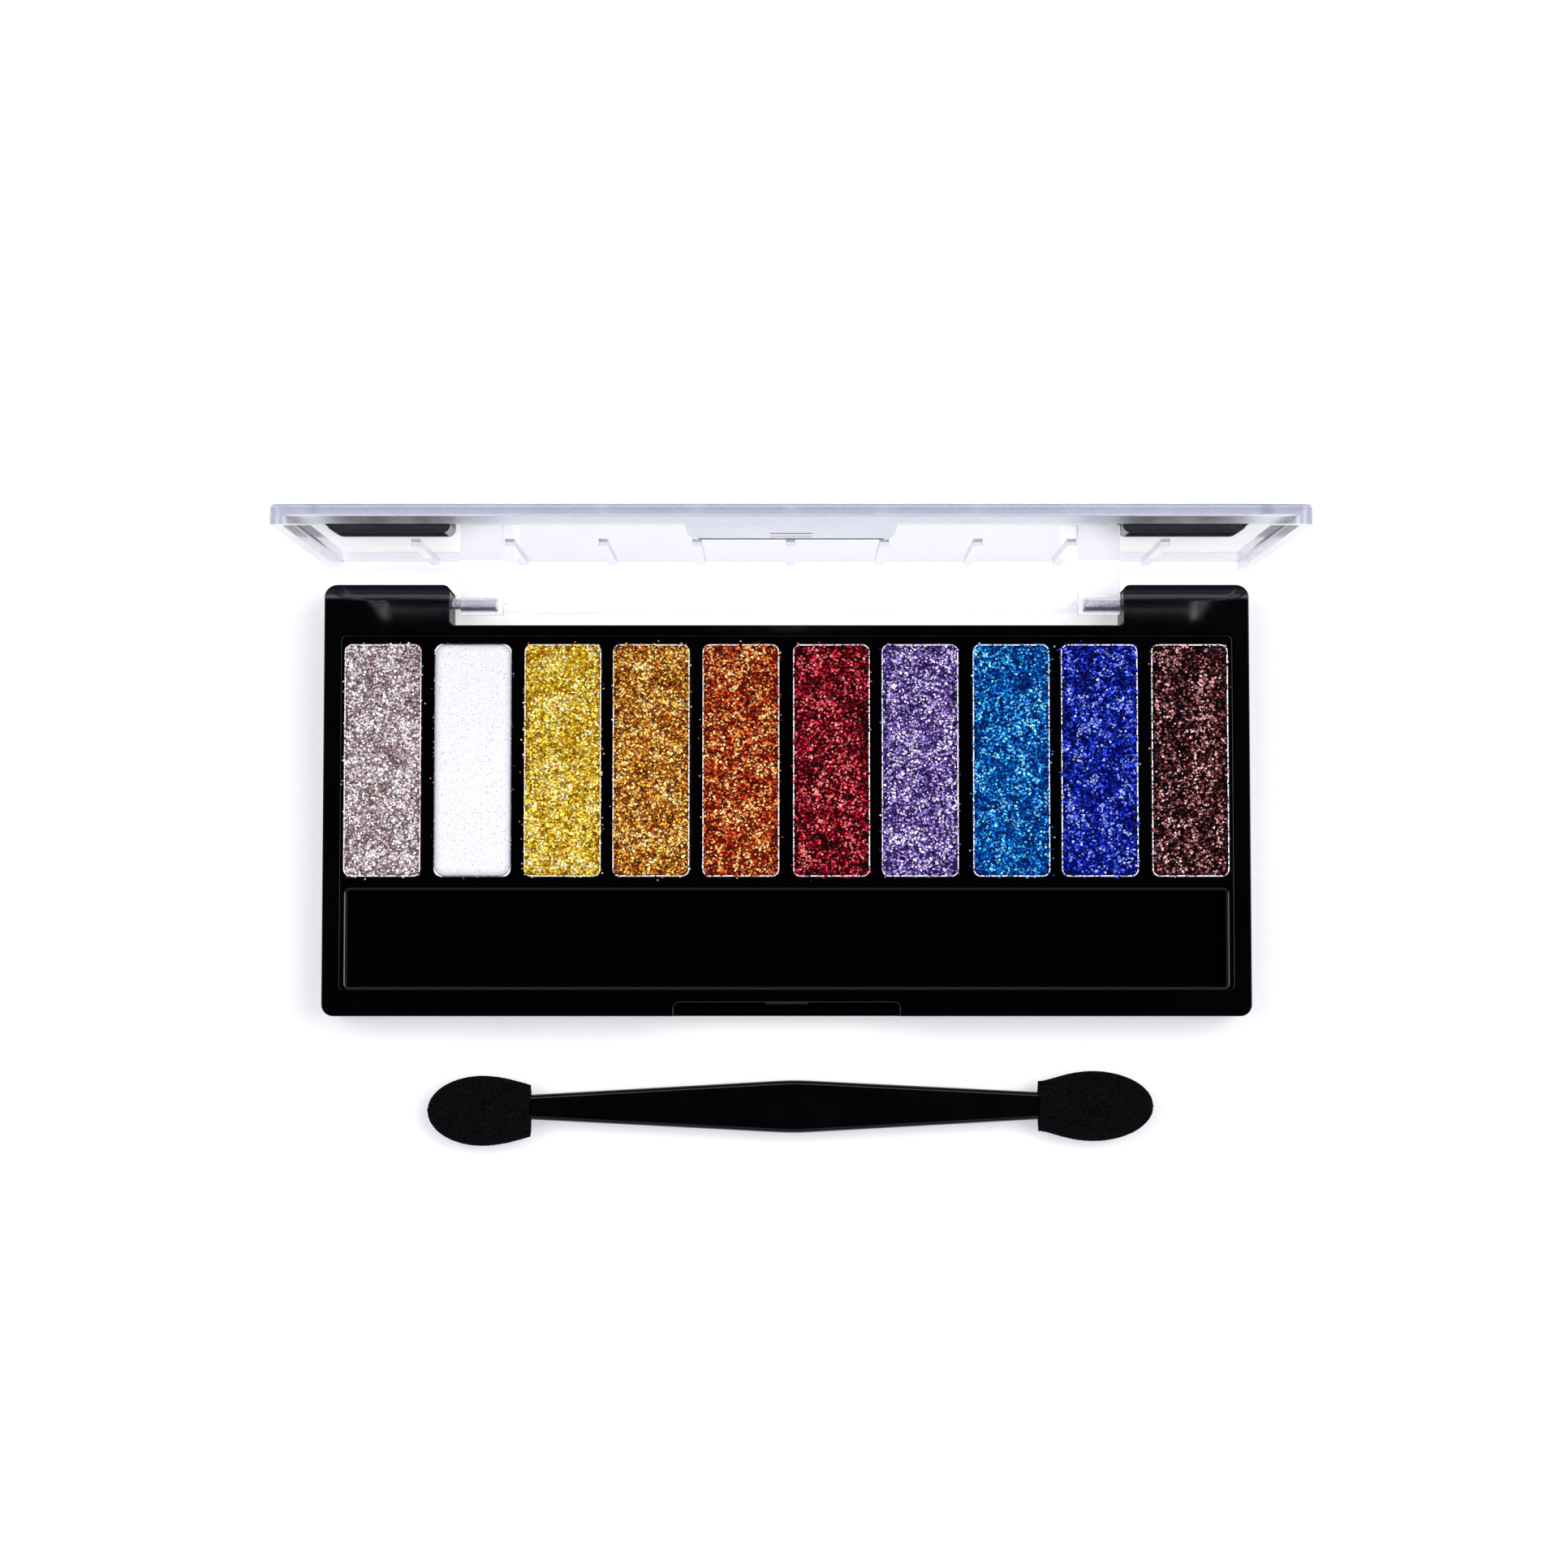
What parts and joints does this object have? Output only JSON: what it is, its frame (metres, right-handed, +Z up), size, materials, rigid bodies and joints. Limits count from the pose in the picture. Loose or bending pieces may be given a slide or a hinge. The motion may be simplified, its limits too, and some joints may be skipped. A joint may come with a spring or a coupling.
{
  "type": "eyeshadow palette",
  "caption": "Slim eyeshadow palette: black case with a row of narrow glitter pans, clear hinged lid, hinge pins, and a double-ended sponge applicator.",
  "frame": {"origin": "centre of the base's underside, on the surface it stands on", "axes": "+X along the palette, +Y from the thumb recess towards the hinge, +Z up"},
  "size_m": [0.1255, 0.0806, 0.0599],
  "materials": {
    "black_case": "high gloss moulded black, faint hairline scratches",
    "black_tray": "high gloss moulded black",
    "pan_metal": "pressed sheet, bright cut rim",
    "adhesive": "dull set dab",
    "pin_steel": "drawn wire",
    "clear_lid": "clear polished styrene with a faint blue cast",
    "black_handle": "gloss moulded black",
    "sponge_foam": "matt open-cell black foam",
    "powder_taupe": "pressed powder with coarse glitter flakes",
    "powder_pearl_white": "pressed pearl powder with fine pastel glitter",
    "powder_gold": "pressed powder with coarse glitter flakes",
    "powder_amber": "pressed powder with coarse glitter flakes",
    "powder_copper": "pressed powder with coarse glitter flakes",
    "powder_red": "pressed powder with coarse glitter flakes",
    "powder_lilac": "pressed powder with coarse glitter flakes",
    "powder_azure": "pressed powder with coarse glitter flakes",
    "powder_royal_blue": "pressed powder with coarse glitter flakes",
    "powder_brown": "pressed powder with coarse glitter flakes"
  },
  "bodies": {
    "case": {"base_shell": "black_case", "inner_tray": "black_tray", "pan_adhesive": "adhesive", "hinge_pin_left": "pin_steel", "hinge_pin_right": "pin_steel", "pan_1": "pan_metal", "pan_2": "pan_metal", "pan_3": "pan_metal", "pan_4": "pan_metal", "pan_5": "pan_metal", "pan_6": "pan_metal", "pan_7": "pan_metal", "pan_8": "pan_metal", "pan_9": "pan_metal", "pan_10": "pan_metal", "powder_1": "powder_taupe", "powder_2": "powder_pearl_white", "powder_3": "powder_gold", "powder_4": "powder_amber", "powder_5": "powder_copper", "powder_6": "powder_red", "powder_7": "powder_lilac", "powder_8": "powder_azure", "powder_9": "powder_royal_blue", "powder_10": "powder_brown"},
    "lid": {"lid": "clear_lid"},
    "applicator": {"applicator_handle": "black_handle", "sponge_tip_left": "sponge_foam", "sponge_tip_right": "sponge_foam"}
  },
  "joints": [
    {"name": "lid_hinge", "type": "hinge", "parent": "case", "child": "lid", "pos_m": [0.0005, 0.02695, 0.0037], "axis": [-1, 0, 0], "range_deg": [-88.6, 13]},
    {"name": "applicator_lift", "type": "hinge", "parent": "case", "child": "applicator", "pos_m": [0.00045, -0.0301, 0.0037], "axis": [-1, 0, 0], "range_deg": [0, 180]}
  ]
}
